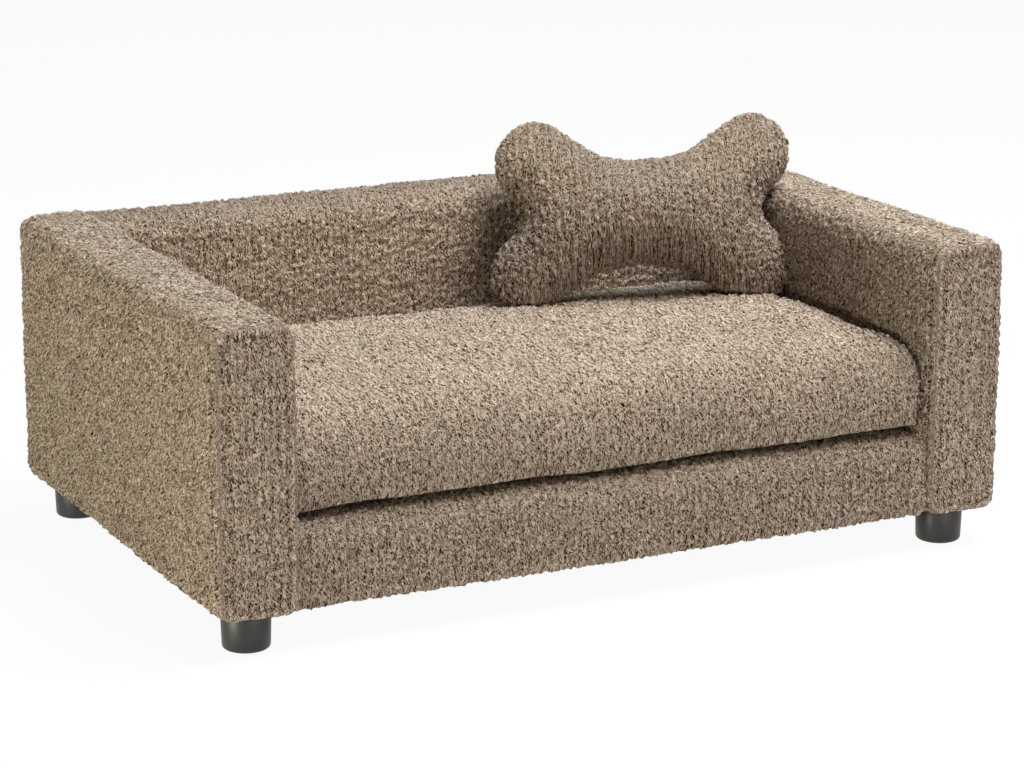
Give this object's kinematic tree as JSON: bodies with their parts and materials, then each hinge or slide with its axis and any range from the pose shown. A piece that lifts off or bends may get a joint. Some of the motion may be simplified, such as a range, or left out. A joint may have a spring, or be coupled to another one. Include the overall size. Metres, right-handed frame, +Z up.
{
  "type": "dog sofa bed",
  "caption": "Low upholstered sofa bed for a small dog: box arms and back, front rail, short round legs, loose crowned seat cushion and a bone-shaped pillow.",
  "frame": {"origin": "on the floor, in the middle of the part's bounding box", "axes": "+X across the sofa's width, to the right of someone who faces it; -Y is its open front; +Z up"},
  "size_m": [0.8, 0.52, 0.3809],
  "materials": {
    "boucle_fabric": "matte",
    "foam": "matte",
    "filling": "matte",
    "softwood": "matte",
    "plywood": "matte",
    "fibreboard": "matte",
    "dust_cloth": "matte",
    "leg_plastic": "satin",
    "zinc_steel": "satin",
    "zip_tape": "matte",
    "zip_coil": "satin",
    "zip_slider": "satin"
  },
  "bodies": {
    "sofa": {"left_arm_cover": "boucle_fabric", "left_arm_foam": "foam", "left_arm_outer_board": "fibreboard", "left_arm_inner_board": "fibreboard", "left_arm_bottom_rail": "softwood", "left_arm_top_rail": "softwood", "left_arm_front_post": "softwood", "left_arm_centre_post": "softwood", "left_arm_rear_post": "softwood", "right_arm_cover": "boucle_fabric", "right_arm_foam": "foam", "right_arm_outer_board": "fibreboard", "right_arm_inner_board": "fibreboard", "right_arm_bottom_rail": "softwood", "right_arm_top_rail": "softwood", "right_arm_front_post": "softwood", "right_arm_centre_post": "softwood", "right_arm_rear_post": "softwood", "back_cover": "boucle_fabric", "back_foam": "foam", "back_front_board": "fibreboard", "back_rear_board": "fibreboard", "back_bottom_rail": "softwood", "back_top_rail": "softwood", "back_left_post": "softwood", "back_centre_post": "softwood", "back_right_post": "softwood", "base_cover": "boucle_fabric", "base_foam": "foam", "base_deck_board": "plywood", "base_front_rail": "softwood", "base_rear_rail": "softwood", "base_left_rail": "softwood", "base_right_rail": "softwood", "base_centre_rail": "softwood", "base_corner_blocks": "softwood", "dust_cover": "dust_cloth", "front_left_leg": "leg_plastic", "rear_left_leg": "leg_plastic", "front_right_leg": "leg_plastic", "rear_right_leg": "leg_plastic", "leg_hanger_bolts": "zinc_steel", "frame_screws": "zinc_steel"},
    "seat_cushion": {"seat_cushion_cover": "boucle_fabric", "seat_cushion_foam": "foam", "zip_tapes": "zip_tape", "zip_coil": "zip_coil"},
    "zip_slider": {"zip_slider": "zip_slider"},
    "bone_pillow": {"pillow_cover": "boucle_fabric", "pillow_filling": "filling"}
  },
  "joints": [
    {"name": "cushion_lift", "type": "slide", "parent": "sofa", "child": "seat_cushion", "axis": [0, 0, 1], "range_m": [0, 0.22]},
    {"name": "zip_slide", "type": "slide", "parent": "seat_cushion", "child": "zip_slider", "axis": [-1, 0, 0], "range_m": [0, 0.492]},
    {"name": "pillow_lift", "type": "slide", "parent": "seat_cushion", "child": "bone_pillow", "axis": [0, 0, 1], "range_m": [0, 0.22]}
  ]
}
